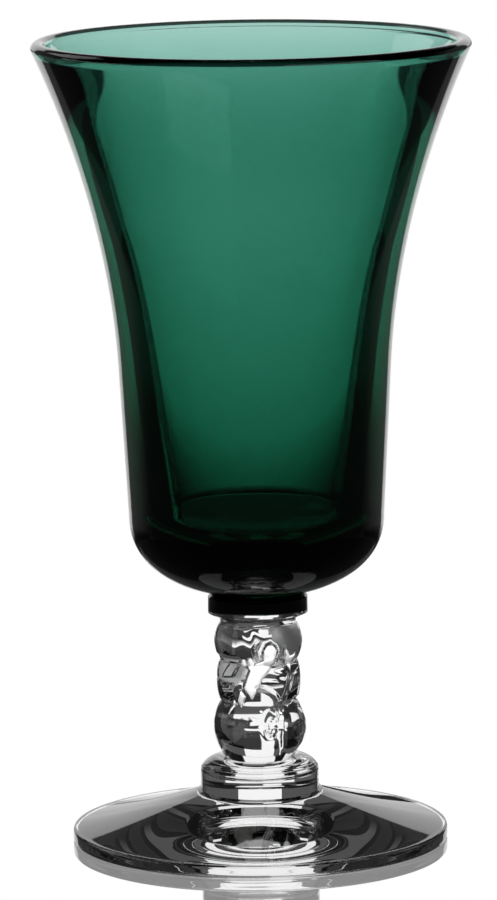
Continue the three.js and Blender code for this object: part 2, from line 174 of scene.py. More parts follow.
class GlassFinish(bpy.types.PropertyGroup):
    """Colours of the glass and how finely it is made"""

    green: tint("Green", "Colour that the green metal lets through",
                (0.0425, 0.57, 0.45, 1))
    green_strength: share("Green strength", "How much light the green metal takes, per metre", 400)
    clear: tint("Clear", "Colour that the clear metal lets through",
                (0.80, 0.82, 0.80, 1))
    clear_strength: share("Clear strength", "How much light the clear metal takes, per metre", 6)
    refraction: share("Refraction", "Index of refraction of both metals", 1.5)
    weld: length("Weld", "How far a piece reaches into the one it is fused to", 0.01)
    segments: IntProperty(name="Segments", description="Faces round a turned piece", default=192)
    satin_white: share("Satin white", "How white the satin leaves are", 0.6)
    satin: share("Satin", "Roughness of the satin leaves", 0.35)
    waviness: share("Waviness", "Unevenness left by the blowing, as a share of the radius", 0.0012)


class Studio(bpy.types.PropertyGroup):
    """Camera, light and table"""

    distance: length("Camera distance", "How far the camera stands in front of the glass", 1040)
    height: length("Camera height", "Height of the camera above the table", 238)
    aim: length("Aim height", "Height on the glass's axis that the camera looks at", 70)
    lens: FloatProperty(name="Lens", description="Focal length", default=243.1, unit="CAMERA")
    roll: angle("Roll", "How far the camera leans", -0.71)
    shift_x: share("Shift across", "Lens shift across, in picture heights", -0.0080)
    shift_y: share("Shift up", "Lens shift up, in picture heights", -0.0094)
    panel_half: angle("Panel half width", "Half the width of the lit panel behind the glass", 26)
    panel_top: angle("Panel top", "Height of the lit panel above the horizon", 20)
    clear_half: angle("Clear half width", "Half the panel's width for light straight from it", 15)
    clear_rise: angle("Clear rise", "Where the narrower panel begins above the horizon", 8)
    strip_half: angle("Strip half width", "Half the width of the lit strip above the panel", 19)
    strip_top: angle("Strip top", "Height of the lit strip above the horizon", 50)
    strip_light: share("Strip light", "Brightness of the lit strip above the panel", 1.0)
    crown_half: angle("Crown half width", "Half the width of the light overhead", 35)
    crown_top: angle("Crown top", "Height of the light overhead above the horizon", 78)
    crown_light: share("Crown light", "Brightness of the light overhead", 0.25)
    key_light: share("Key light", "Strength of the lamp on the stem", 7)
    key_turn: angle("Key turn", "How far left of the camera the lamp stands", 8)
    key_rise: angle("Key rise", "How high the lamp stands above the horizon", 40)
    low_left: angle("Low window left", "Left edge of the window between the low cards", -14)
    low_right: angle("Low window right", "Right edge of the window between the low cards", -2)
    mirrored_top: angle("Mirrored card top", "Height of the low cards as the table shows them", 4.8)
    low_top: angle("Low card top", "Height of the low cards above the horizon", 10.8)
    fade_from: length("Fade from", "Where the far table is still dark", 185)
    fade_to: length("Fade to", "Where the far table is fully lit", 300)
    tear_size: length("Tear size", "Size of the ragged bites in the card's edges", 14)
    tear_depth: length("Tear depth", "Depth of the ragged bites in the card's edges", 24)
    wall_half: angle("Wall half width", "How far round the grey walls reach", 62)
    wall_light: share("Wall light", "Brightness of the grey walls beside the panel", 0.09)
    room_light: share("Room light", "Brightness of the dark room", 0.01)
    table_light: share("Table light", "Brightness of the table by itself", 0.235)
    table_dim: share("Table in the glass", "Brightness of the table by itself, as the glass shows it", 0.015)
    table_gloss: share("Table gloss", "How much the table mirrors near the glass", 0.77)
    table_patch: length("Mirror patch", "Radius around the glass in which the table mirrors", 70)


# Profiles of the turned pieces, as radius and height

# Steps between the points of a profile
FLAT_STEP = 2 * MILLIMETRE
EDGE_STEP = MILLIMETRE
WALL_STEP = 0.9 * MILLIMETRE
ROUND_STEP = 0.7 * MILLIMETRE
SWEEP_STEP = 0.6 * MILLIMETRE
DRUM_STEP = 0.3 * MILLIMETRE
LIP_STEP = 0.2 * MILLIMETRE
RIM_STEP = 0.1 * MILLIMETRE
# Points along a curve before they are spaced evenly
ARC_POINTS = 241
WALL_POINTS = 300
SHOULDER_POINTS = 181
SWEEP_POINTS = 120
# Shares of the bowl's height at which its wall thicknesses hold
WALL_SHARES = (0.15, 0.45, 0.65, 0.93, 1.0)
# Lines cut round the collar's shoulder: quarter turns up from the drum, and share of the full depth
GROOVES = ((0.04, 1.0), (0.34, 0.5), (0.66, 0.5))
# Place of the collar's bead, in quarter turns up from the drum
BEAD = 0.19


def line(start, end, step):
    """Evenly spaced points on a straight line, both ends included."""
    start, end = np.array(start, float), np.array(end, float)
    count = max(1, math.ceil(np.linalg.norm(end - start) / step))
    return start + (end - start) * np.linspace(0, 1, count + 1)[:, None]


def arc(centre, radii, from_quarter, to_quarter, power=2.0):
    """Points on a quarter or more of an ellipse, with angles in quarter turns."""
    angles = np.linspace(from_quarter, to_quarter, ARC_POINTS) * math.pi / 2
    across, up = np.cos(angles), np.sin(angles)
    return np.column_stack((
        centre[0] + radii[0] * np.sign(across) * np.abs(across) ** (2 / power),
        centre[1] + radii[1] * np.sign(up) * np.abs(up) ** (2 / power),
    ))


def even(points, step):
    """The same curve with evenly spaced points."""
    along = np.concatenate(([0], np.cumsum(np.linalg.norm(np.diff(points, axis=0), axis=1))))
    count = max(2, math.ceil(along[-1] / step))
    places = np.linspace(0, along[-1], count + 1)
    return np.column_stack([np.interp(places, along, points[:, axis]) for axis in (0, 1)])


def chained(*stretches):
    """One profile through several stretches, with the shared ends kept once."""
    points = [stretches[0][0]]
    for stretch in stretches:
        points.extend(point for point in stretch if np.linalg.norm(point - points[-1]) > SAME_PLACE)
    return np.array(points)


def welded_seat(radius, base, weld):
    """Flat underside that reaches into the piece below it, with a tiny bevel round it."""
    return chained(
        line((0, base - weld), (radius - weld, base - weld), FLAT_STEP),
        line((radius - weld, base - weld), (radius, base), EDGE_STEP),
    )


def smooth_stations(places, stations, values):
    """Values between stations on a curve that passes through each of them without a kink."""
    stations, values = np.array(stations), np.array(values)
    slopes = np.gradient(values, stations)
    index = np.clip(np.searchsorted(stations, places) - 1, 0, len(stations) - 2)
    gap = stations[index + 1] - stations[index]
    part = np.clip((places - stations[index]) / gap, 0, 1)
    rise = part * part * (3 - 2 * part)
    lean_in = part * (1 - part) ** 2 * gap * slopes[index]
    lean_out = part * part * (part - 1) * gap * slopes[index + 1]
    return values[index] + (values[index + 1] - values[index]) * rise + lean_in + lean_out


def bowl_profile(sizes, weld):
    """Bowl: welded seat, rounded heel, flaring wall, fire-polished lip, inner wall and round cavity."""
    base, top = low("bowl"), high("bowl")
    height = top - base
    heel_share = sizes.heel_height / height

    def outer(shares):
        lean = sizes.taper * (shares - heel_share) / (1 - heel_share)
        flare = np.maximum(0, shares - sizes.flare_start) / (1 - sizes.flare_start)
        return sizes.heel_radius + lean + sizes.flare * flare ** sizes.flare_power

    def wall(shares):
        walls = (sizes.heel_wall, sizes.lower_wall, sizes.middle_wall, sizes.upper_wall, sizes.lip_wall)
        return smooth_stations(shares, WALL_SHARES, walls)

    lip = sizes.lip_wall / 2
    lip_share = 1 - lip / height
    cavity_share = (sizes.floor + sizes.cavity_round) / height
    rise = np.linspace(heel_share, lip_share, WALL_POINTS)
    fall = np.linspace(lip_share, cavity_share, WALL_POINTS)
    outside = np.column_stack((outer(rise), base + height * rise))
    inside = np.column_stack((outer(fall) - wall(fall), base + height * fall))
    lip_outer = outside[-1][0]
    lip_inner = inside[0][0]
    lip_middle = ((lip_outer + lip_inner) / 2, top - lip)
    heel = arc((0, base + sizes.heel_height), (sizes.heel_radius, sizes.heel_height), -1, 0,
               sizes.heel_power)
    heel = heel[heel[:, 0] > sizes.seat_radius + sizes.button_edge]
    cavity = arc((0, inside[-1][1]), (inside[-1][0], sizes.cavity_round), 0, -1)
    cavity[-1][0] = 0
    return chained(
        welded_seat(sizes.seat_radius, base, weld),
        even(heel, ROUND_STEP),
        even(outside, WALL_STEP),
        even(arc(lip_middle, ((lip_outer - lip_inner) / 2, lip), 0, 2), LIP_STEP),
        even(inside, WALL_STEP),
        even(cavity, ROUND_STEP),
    )


def button_profile(sizes, weld):
    """Button: a thin disc with a small bevel at its upper edge."""
    radius, base, top = widest("bowl_button"), low("bowl_button"), high("bowl_button")
    return chained(
        welded_seat(radius, base, weld),
        line((radius, base), (radius, top - sizes.button_edge), EDGE_STEP),
        line((radius, top - sizes.button_edge), (radius - sizes.button_edge, top), EDGE_STEP),
        line((radius - sizes.button_edge, top), (sizes.seat_radius, top), EDGE_STEP),
        line((sizes.seat_radius, top), (0, top), FLAT_STEP),
    )


def collar_profile(sizes, seat_radius, weld):
    """Collar: fin, drum, and the round shoulder with its cut lines and its bead."""
    base, top = low("stem_collar"), high("stem_collar")
    fin_radius = widest("stem_collar")
    fin = np.array([(sizes.hub_radius, base), (fin_radius, base + sizes.fin_height / 2),
                    (sizes.drum_radius, base + sizes.fin_height)])
    reach, rise = sizes.drum_radius - sizes.top_radius, sizes.shoulder_height
    quarter = np.linspace(0, 1, SHOULDER_POINTS)
    shoulder_length = math.pi / 4 * (reach + rise)
    lift = np.zeros(quarter.shape)
    bands = [(place, -depth_share * sizes.groove_depth, sizes.groove_half) for place, depth_share in GROOVES]
    bands.append((BEAD, sizes.bead_relief, sizes.bead_half))
    for place, height, half in bands:
        lift += height * (1 - eased(np.abs(quarter - place) * shoulder_length, half))
    shoulder = np.column_stack((
        sizes.top_radius + (reach + lift) * np.cos(quarter * math.pi / 2),
        top - rise + (rise + lift) * np.sin(quarter * math.pi / 2),
    ))
    return chained(
        welded_seat(sizes.hub_radius, base, weld),
        fin,
        line(fin[-1], shoulder[0], DRUM_STEP),
        shoulder,
        line((sizes.top_radius, top), (seat_radius, top), EDGE_STEP),
        line((seat_radius, top), (0, top), FLAT_STEP),
    )


def foot_profile(sizes, collar):
    """Foot: flat underside, round rim and the sweep up to the collar."""
    radius, top = widest("foot"), high("foot")
    half = sizes.rim_height / 2
    rim_centre = (radius - sizes.rim_round, half)
    part = np.linspace(0, 1, SWEEP_POINTS)
    sweep = np.column_stack((
        rim_centre[0] + (collar.hub_radius - rim_centre[0]) * part,
        sizes.rim_height + (top - sizes.rim_height) * part - sizes.sweep * np.sin(math.pi * part),
    ))
    return chained(
        line((0, 0), (rim_centre[0], 0), FLAT_STEP),
        even(arc(rim_centre, (sizes.rim_round, half), -1, 1, sizes.rim_power), RIM_STEP),
        even(sweep, SWEEP_STEP),
        line((collar.hub_radius, top), (0, top), FLAT_STEP),
    )


# Node tree that turns a profile into a solid

# Size of the unevenness left by the blowing, and edges sharper than this stay sharp
WAVE_SIZE = 22 * MILLIMETRE
SHARP_ANGLE = math.radians(32)
STEM_SHARP_ANGLE = math.radians(40)
# A face belongs to a joint when it lies this close to the joint's height
JOINT_REACH = MILLIMETRE / 500
# Seeds of the unevenness, one for each turned piece
SEEDS = {"green_bowl": 3, "green_button": 5, "ridged_collar": 7, "domed_foot": 9}


def node(tree, kind, values=None, **settings):
    """A new node with its settings, and inputs that are plain values or sockets of other nodes."""
    made = tree.nodes.new(kind)
    for name, setting in settings.items():
        setattr(made, name, setting)
    for name, value in (values or {}).items():
        if isinstance(value, bpy.types.NodeSocket):
            tree.links.new(value, made.inputs[name])
        else:
            made.inputs[name].default_value = value
    return made


def math_node(tree, operation, first, second=None):
    """A math node on sockets or plain numbers; gives its result."""
    values = {0: first} if second is None else {0: first, 1: second}
    return node(tree, "ShaderNodeMath", values, operation=operation).outputs[0]


def noise(tree, place, scale, detail):
    """Noise texture at a place."""
    return node(tree, "ShaderNodeTexNoise", {"Vector": place, "Scale": scale, "Detail": detail}).outputs


def turning_tree():
    """Tree that turns a profile of points about the upright axis, with a slight unevenness."""
    tree = bpy.data.node_groups.new("turned_glass", "GeometryNodeTree")
    tree.is_modifier = True
    sockets = (("Profile", "Geometry"), ("Segments", "Int"), ("Points", "Int"), ("Waviness", "Float"),
               ("Wave Size", "Float"), ("Seed", "Int"), ("Sharp Angle", "Float"), ("Glass", "Material"))
    for name, kind in sockets:
        tree.interface.new_socket(name, in_out="INPUT", socket_type="NodeSocket" + kind)
    tree.interface.new_socket("Solid", in_out="OUTPUT", socket_type="NodeSocketGeometry")
    given = node(tree, "NodeGroupInput").outputs

    columns = math_node(tree, "ADD", given["Segments"], 1.0)
    grid = node(tree, "GeometryNodeMeshGrid", {"Vertices X": given["Points"], "Vertices Y": columns})
    index = node(tree, "GeometryNodeInputIndex").outputs[0]
    middle = math_node(tree, "ADD", index, 0.5)
    row = math_node(tree, "FLOOR", math_node(tree, "DIVIDE", middle, columns))
    column = math_node(tree, "SUBTRACT", index, math_node(tree, "MULTIPLY", row, columns))

    position = node(tree, "GeometryNodeInputPosition").outputs[0]
    sample = node(tree, "GeometryNodeSampleIndex", data_type="FLOAT_VECTOR", domain="POINT")
    for name, source in (("Geometry", given["Profile"]), ("Value", position), ("Index", row)):
        tree.links.new(source, sample.inputs[name])
    parts = node(tree, "ShaderNodeSeparateXYZ", {0: sample.outputs[0]}).outputs
    radius, height = parts["X"], parts["Z"]

    turn_share = math_node(tree, "DIVIDE", column, given["Segments"])
    turn = math_node(tree, "MULTIPLY", turn_share, 2 * math.pi)
    across = math_node(tree, "SINE", turn)
    away = math_node(tree, "MULTIPLY", math_node(tree, "COSINE", turn), -1.0)

    def placed(reach):
        return node(tree, "ShaderNodeCombineXYZ", {
            "X": math_node(tree, "MULTIPLY", reach, across),
            "Y": math_node(tree, "MULTIPLY", reach, away),
            "Z": height}).outputs[0]

    waves = node(tree, "ShaderNodeTexNoise", {
        "Vector": placed(radius), "W": given["Seed"], "Detail": 1.0,
        "Scale": math_node(tree, "DIVIDE", 1.0, given["Wave Size"])}, noise_dimensions="4D")
    dip = math_node(tree, "MULTIPLY", waves.outputs[0], given["Waviness"])
    uneven = math_node(tree, "MULTIPLY", radius, math_node(tree, "SUBTRACT", 1.0, dip))

    place = node(tree, "GeometryNodeSetPosition", {
        "Geometry": grid.outputs["Mesh"], "Position": placed(uneven)})
    weld = node(tree, "GeometryNodeMergeByDistance", {"Geometry": place.outputs[0], "Distance": SAME_PLACE})
    smooth = node(tree, "GeometryNodeSetShadeSmooth", {0: weld.outputs[0]}, domain="FACE")
    edge_angle = node(tree, "GeometryNodeInputMeshEdgeAngle").outputs[0]
    crease = node(tree, "GeometryNodeSetShadeSmooth", {
        0: smooth.outputs[0], "Shade Smooth": False,
        "Selection": math_node(tree, "GREATER_THAN", edge_angle, given["Sharp Angle"])}, domain="EDGE")
    realize = node(tree, "GeometryNodeRealizeInstances", {0: crease.outputs[0]})
    dress = node(tree, "GeometryNodeSetMaterial", {
        "Geometry": realize.outputs[0], "Material": given["Glass"]})
    node(tree, "NodeGroupOutput", {"Solid": dress.outputs[0]})
    return tree


def turned_piece(name, profile, glass, finish, clear_joints, glancing_joints=()):
    """A turned piece as a plain mesh, made by the turning tree; its joints are heights and radii."""
    outline = bpy.data.meshes.new(name + "_profile")
    points = [(radius, 0.0, height) for radius, height in profile]
    outline.from_pydata(points, [(i, i + 1) for i in range(len(points) - 1)], [])
    source = bpy.data.objects.new(name + "_source", outline)
    bpy.context.scene.collection.objects.link(source)
    tree = bpy.data.node_groups.get("turned_glass") or turning_tree()
    modifier = source.modifiers.new("turned_glass", "NODES")
    modifier.node_group = tree
    values = {"Segments": finish.segments, "Points": len(points), "Waviness": finish.waviness,
              "Wave Size": WAVE_SIZE, "Seed": SEEDS[name], "Sharp Angle": SHARP_ANGLE, "Glass": glass}
    for item in tree.interface.items_tree:
        if item.name in values and item.in_out == "INPUT":
            modifier[item.identifier] = values[item.name]
    graph = bpy.context.evaluated_depsgraph_get()
    mesh = bpy.data.meshes.new_from_object(source.evaluated_get(graph), depsgraph=graph)
    bpy.data.objects.remove(source)
    return finished_piece(name, mesh, clear_joints, glancing_joints)


def finished_piece(name, mesh, clear_joints, glancing_joints=(), satin=None):
    """Puts the mesh in the scene as a piece: faces outwards, and joints and satin in their own finish."""
    mesh.name = name + "_mesh"
    glass = next(material for material in mesh.materials if material)
    mesh.materials.clear()
    mesh.materials.append(glass)
    for joints, finish in ((clear_joints, clear_joint), (glancing_joints, glancing_joint)):
        if not joints:
            continue
        mesh.materials.append(finish(glass))
        for face in mesh.polygons:
            if any(abs(face.center.z - height) < JOINT_REACH and face.center.xy.length < radius
                   for height, radius in joints):
                face.material_index = len(mesh.materials) - 1
    if satin is not None:
        mesh.materials.append(satin_metal(glass))
        for face in np.flatnonzero(satin):
            mesh.polygons[face].material_index = len(mesh.materials) - 1
    if signed_volume(mesh) < 0:
        mesh.flip_normals()
    piece = bpy.data.objects.new(name, mesh)
    bpy.context.scene.collection.objects.link(piece)
    return piece


def signed_volume(mesh):
    """Volume of a closed mesh; negative where its faces point inwards."""
    mesh.calc_loop_triangles()
    places = np.empty(len(mesh.vertices) * 3)
    mesh.vertices.foreach_get("co", places)
    places = places.reshape(-1, 3)
    corners = np.empty(len(mesh.loop_triangles) * 3, int)
    mesh.loop_triangles.foreach_get("vertices", corners)
    first, second, third = (places[corners.reshape(-1, 3)[:, i]] for i in range(3))
    return float(np.einsum("ij,ij->i", first, np.cross(second, third)).sum() / 6)


# Relief of the stem. Places are degrees round from the front and shares of the stem's height

LEAVES = (
    ((-13, 0.614), (-21.8, 0.49), (-9.7, 0.408), (5, 0.558), (24, 0.655), (20, 0.708), (-5, 0.655)),
    ((-25.8, 0.49), (-17.5, 0.442), (-27.5, 0.339), (-32.6, 0.404)),
    ((-37.7, 0.423), (-32.6, 0.39), (-41, 0.33), (-50.5, 0.253), (-45.6, 0.345)),
    ((33.6, 0.777), (46.8, 0.693), (60.9, 0.719), (52, 0.614), (48.8, 0.56), (36.7, 0.676)),
)
FACETS = (
    ((52, 0.57), (78, 0.6), (70, 0.47), (44, 0.44)),
    ((-46, 0.657), (-24.8, 0.655), (-36, 0.554), (-61.5, 0.538)),
    ((-61, 0.506), (-36, 0.524), (-38, 0.468), (-60, 0.455)),
)
CRESCENT = ((1, 0.796), (-4, 0.77), (-5.5, 0.738), (-4, 0.706), (-1, 0.678))
CURL_LINE = ((4.9, 0.67), (3.6, 0.73), (8.7, 0.783), (16.5, 0.798), (24.5, 0.766), (27.7, 0.727), (25, 0.66))
VALLEY = ((-1.5, 0.494), (8, 0.487), (17.9, 0.461), (25, 0.43), (31.9, 0.39))
DIVIDE = ((48.8, 0.558), (41.4, 0.449), (31.9, 0.371), (26, 0.27), (25, 0.17), (29, 0.05))
WAIST_NOTCH = ((-92, 0.655), (-62, 0.668), (-30, 0.672))
FACET_NOTCH = ((-92, 0.52), (-50, 0.515))
DISC_NOTCH = ((62, 0.39), (92, 0.375))
CURL_CENTRE, CURL_SIZE = (15, 0.704), (0.17, 0.27)
KNOB_CENTRE, KNOB_SIZE = (-11.5, 0.648), (0.08, 0.15)
EYE_CENTRE = (31.9, 0.682)
VOLUTE_CENTRE, VOLUTE_SIZE, VOLUTE_INNER = (15.5, 0.247), (0.17, 0.3), (0.08, 0.15)
DISC_CENTRE = (58, 0.199)
# How flat the volute's disc is on top; 2 is a round dome
DISC_POWER = 4
# Shares of the stem's height: the two waists, the neck, and the ends over which the relief fades out
LOWER_WAIST_SHARE = 0.371
UPPER_WAIST_SHARE = 0.633
NECK_SHARE = 0.88
FOOT_FADE_SHARE = 0.012
NECK_FADE_SHARE = 0.02
# How pointed each swelling is, from the lowest up; 1 is a sine
SWELL_POWERS = (0.75, 0.5, 0.8)
# Keeps a width above 0
TINY = 1e-9


class Relief:
    """Relief on the unrolled side of the stem."""

    def __init__(self, sizes, degrees, shares):
        self.sizes = sizes
        self.height = high("stem") - low("stem")
        self.across, self.up = self.unrolled((degrees, shares))

    def unrolled(self, place):
        """Place on the unrolled side, from degrees and a share of the height."""
        return np.radians(place[0]) * self.sizes.relief_radius, place[1] * self.height

    def distance(self, start, end):
        """Distance to a straight stretch between two places."""
        (x0, y0), (x1, y1) = self.unrolled(start), self.unrolled(end)
        run_x, run_y = x1 - x0, y1 - y0
        along = ((self.across - x0) * run_x + (self.up - y0) * run_y) / (run_x ** 2 + run_y ** 2)
        held = np.clip(along, 0, 1)
        return np.hypot(self.across - x0 - run_x * held, self.up - y0 - run_y * held)

    def inside(self, outline):
        """True where a place is inside the outline."""
        found = np.zeros(self.across.shape, bool)
        for corner, following in zip(outline, outline[1:] + outline[:1]):
            (x0, y0), (x1, y1) = self.unrolled(corner), self.unrolled(following)
            crosses = (y0 > self.up) != (y1 > self.up)
            crossing = x0 + (x1 - x0) * (self.up - y0) / (y1 - y0 if y1 != y0 else 1)
            found ^= crosses & (self.across < crossing)
        return found

    def pad(self, outline, height):
        """Raised leaf or facet with a slope round its edge."""
        nearest = np.min([self.distance(a, b) for a, b in zip(outline, outline[1:] + outline[:1])], axis=0)
        return np.where(self.inside(outline), height * eased(nearest, self.sizes.leaf_edge), 0)

    def cut(self, path, depth, width):
        """Line cut along a path, deepest in its middle."""
        nearest = np.min([self.distance(a, b) for a, b in zip(path, path[1:])], axis=0)
        return -depth * (1 - eased(nearest, width))

    def reach(self, centre, semi_axes):
        """How far a place lies from a centre, across and up, in semi-axes of an oval."""
        middle = self.unrolled(centre)
        return (self.across - middle[0]) / semi_axes[0], (self.up - middle[1]) / semi_axes[1]

    def boss(self, centre, semi_axes, height):
        """Round boss on an oval, highest in its middle."""
        reach = np.hypot(*self.reach(centre, semi_axes))
        return height * np.sqrt(np.maximum(0, 1 - reach ** 2))

    def open_ring(self, centre, semi_axes, depth, width):
        """Line cut round an oval, left open on its right side."""
        across, up = self.reach(centre, semi_axes)
        reach = np.hypot(across, up)
        closed = eased(reach - across, reach / 2 + TINY)
        return -depth * closed * (1 - eased(np.abs(reach - 1) * min(semi_axes), width))

    def disc(self):
        """Disc of the lower right volute: a low dome with a cut ring."""
        reach = np.hypot(*self.reach(DISC_CENTRE, (1, 1)))
        sizes = self.sizes
        dome = sizes.disc_relief * (1 - np.minimum(1, reach / sizes.disc_radius) ** DISC_POWER)
        ring = -sizes.line_depth * (1 - eased(np.abs(reach - sizes.disc_eye), sizes.line_width))
        return dome + ring

    def satin(self):
        """True on the raised leaves and on the rolled tip, which the mould left satin."""
        found = np.zeros(self.across.shape, bool)
        for leaf in LEAVES:
            found |= self.pad(leaf, 1.0) > 0.5
        for centre, pair in ((CURL_CENTRE, CURL_SIZE), (KNOB_CENTRE, KNOB_SIZE)):
            semi_axes = tuple(part * self.sizes.relief_radius for part in pair)
            found |= np.hypot(*self.reach(centre, semi_axes)) < self.sizes.satin_share
        return found

    def total(self):
        """Height of all the relief."""
        sizes = self.sizes
        semi = [tuple(part * sizes.relief_radius for part in pair)
                for pair in (CURL_SIZE, KNOB_SIZE, VOLUTE_SIZE, VOLUTE_INNER)]
        fine, broad = (sizes.line_depth, sizes.line_width), (sizes.valley_depth, sizes.valley_width)
        height = self.disc()
        for leaf in LEAVES:
            height += self.pad(leaf, sizes.leaf_relief)
        for facet in FACETS:
            height += self.pad(facet, sizes.facet_relief)
        height += self.cut(CRESCENT, *fine) + self.cut(CURL_LINE, *fine) + self.cut(VALLEY, *broad)
        height += self.cut(DIVIDE, sizes.line_depth, sizes.valley_width)
        height += self.cut(WAIST_NOTCH, *broad) + self.cut(FACET_NOTCH, *fine) + self.cut(DISC_NOTCH, *broad)
        height += self.boss(CURL_CENTRE, semi[0], sizes.curl_relief)
        height += self.boss(KNOB_CENTRE, semi[1], sizes.knob_relief)
        height -= self.boss(EYE_CENTRE, (sizes.eye_radius, sizes.eye_radius), sizes.eye_depth)
        height += self.open_ring(VOLUTE_CENTRE, semi[2], *broad)
        height += self.open_ring(VOLUTE_CENTRE, semi[3], *fine)
        return height


def eased(value, width):
    """Rises smoothly from 0 to 1 as the value goes from 0 to the width."""
    part = np.clip(value / width, 0, 1)
    return part * part * (3 - 2 * part)


def swell_radius(shares, sizes):
    """Plain radius of the stem: three swellings, one above the other."""
    bands = (
        (0, LOWER_WAIST_SHARE, sizes.lower_neck, sizes.middle_neck, sizes.lower_swell),
        (LOWER_WAIST_SHARE, UPPER_WAIST_SHARE, sizes.middle_neck, sizes.upper_neck, sizes.middle_swell),
        (UPPER_WAIST_SHARE, NECK_SHARE, sizes.upper_neck, sizes.upper_neck, sizes.upper_swell),
    )
    radius = np.full(shares.shape, sizes.upper_neck)
    for (start, end, low_radius, high_radius, swell), power in zip(bands, SWELL_POWERS):
        part = np.clip((shares - start) / (end - start), 0, 1)
        here = low_radius + (high_radius - low_radius) * part + swell * np.sin(math.pi * part) ** power
        radius = np.where((shares >= start) & (shares < end), here, radius)
    return radius


def softened(values, across_steps, up_steps):
    """Values rounded off as a fire polish does, with the first axis round the stem."""
    for axis, steps in ((0, across_steps), (1, up_steps)):
        for _ in range(steps):
            if axis == 0:
                values = (np.roll(values, 1, 0) + 2 * values + np.roll(values, -1, 0)) / 4
            else:
                padded = np.concatenate((values[:, :1], values, values[:, -1:]), axis=1)
                values = (padded[:, :-2] + 2 * padded[:, 1:-1] + padded[:, 2:]) / 4
    return values


def stem_mesh(sizes, weld, columns=288, rows=320):
    """Stem: seat, relief, neck and cap, as one closed net; and which of its faces are satin."""
    base, top = low("stem"), high("stem")
    height = top - base
    turn = np.arange(columns) * 2 * math.pi / columns
    degrees = np.degrees(np.arctan2(np.sin(turn), np.abs(np.cos(turn))))
    shares = np.linspace(0, NECK_SHARE, rows)
    angle_net, share_net = np.meshgrid(degrees, shares, indexing="ij")
    carving = Relief(sizes, angle_net, share_net)
    relief, leafy = carving.total(), carving.satin()
    fade = eased(share_net, FOOT_FADE_SHARE) * eased(NECK_SHARE - share_net, NECK_FADE_SHARE)
    fade = fade * np.where(np.cos(turn) < 0, sizes.back_share, 1)[:, None]
    radius = swell_radius(share_net, sizes) + relief * fade
    radius = softened(radius, across_steps=1, up_steps=2)
    cap_low = top - sizes.cap_height
    cap_radius = widest("bowl_button")
    seat = (sizes.seat_radius - weld, base - weld)
    upper = ((sizes.upper_neck, cap_low - sizes.cap_chamfer), (cap_radius, cap_low), (cap_radius, top))
    heights = np.concatenate(([seat[1]], base + height * shares, [z for _, z in upper]))
    lowest = np.full((columns, 1), seat[0])
    rings = np.concatenate((lowest, radius, np.ones((columns, len(upper)))), axis=1)
    rings[:, 1] = sizes.seat_radius
    for place, (ring_radius, _) in enumerate(upper):
        rings[:, place - len(upper)] = ring_radius
    x = rings * np.sin(turn)[:, None]
    y = -rings * np.cos(turn)[:, None]
    z = np.broadcast_to(heights, rings.shape)
    count = rings.shape[1]
    points = np.stack((x, y, z), axis=2).reshape(-1, 3)
    points = np.concatenate((points, [(0, 0, heights[0]), (0, 0, heights[-1])]))
    faces, satin = [], []
    leafy = np.pad(leafy, ((0, 0), (1, len(upper) - 1)))
    for column in range(columns):
        here, after = column * count, ((column + 1) % columns) * count
        faces.extend((here + row, after + row, after + row + 1, here + row + 1)
                     for row in range(count - 1))
        faces.append((len(points) - 2, after, here))
        faces.append((len(points) - 1, here + count - 1, after + count - 1))
        satin.extend((*leafy[column], False, False))
    mesh = bpy.data.meshes.new("stem_net")
    mesh.from_pydata(points.tolist(), [], faces)
    mesh.shade_smooth()
    mesh.set_sharp_from_angle(angle=STEM_SHARP_ANGLE)
    return mesh, np.array(satin)


# Finishes

# Noise scales per metre: draw lines across and along a piece, pits, and where it was handled
DRAW_SCALES = (90, 90, 14)
PIT_SCALE = 900
HANDLED_SCALE = 60
# Levels of the handled noise between which the skin gets rough
HANDLED_LEVELS = (0.45, 0.75)
# Skins: depth of the draw lines and of the pits in metres, and the greatest roughness
FIRE_POLISH = (2e-6, 2e-8, 0.02)
MOULD_SKIN = (4e-6, 2e-7, 0.04)
# How much rougher the satin is where it was handled
SATIN_SPREAD = 0.1


def bump(tree, height, depth, **normal):
    """Bumps as high as the depth, on top of a normal if one is given."""
    values = {"Strength": 1.0, "Distance": depth, "Height": height, **normal}
    return node(tree, "ShaderNodeBump", values).outputs[0]


def glass_material(name, colour, strength, refraction, skin):
    """Glass: constant colour through its depth, faint draw lines and pits on its skin."""
    draw_depth, pit_depth, roughness = skin
    material = bpy.data.materials.new(name)
    material.use_nodes = True
    tree = material.node_tree
    tree.nodes.clear()
    place = node(tree, "ShaderNodeTexCoord").outputs["Object"]
    stretched = node(tree, "ShaderNodeMapping", {"Vector": place, "Scale": DRAW_SCALES}).outputs[0]
    draw = bump(tree, noise(tree, stretched, scale=1.0, detail=2.0)[0], draw_depth)
    pits = bump(tree, noise(tree, place, PIT_SCALE, detail=3.0)[0], pit_depth, Normal=draw)
    rough = node(tree, "ShaderNodeMapRange", {
        "Value": noise(tree, place, HANDLED_SCALE, detail=4.0)[0], "From Min": HANDLED_LEVELS[0],
        "From Max": HANDLED_LEVELS[1], "To Min": 0.0, "To Max": roughness})
    glass = node(tree, "ShaderNodeBsdfPrincipled", {
        "Base Color": (1, 1, 1, 1), "Transmission Weight": 1.0, "IOR": refraction,
        "Roughness": rough.outputs[0], "Normal": pits})
    depth = node(tree, "ShaderNodeVolumeAbsorption", {"Color": colour, "Density": strength})
    node(tree, "ShaderNodeOutputMaterial", {"Surface": glass.outputs[0], "Volume": depth.outputs[0]})
    return material


def changed_metal(metal, ending, change):
    """The metal's copy with this ending to its name, changed when it is first made."""
    name = metal.name + ending
    if name not in bpy.data.materials:
        material = metal.copy()
        material.name = name
        change(material.node_tree)
    return bpy.data.materials[name]


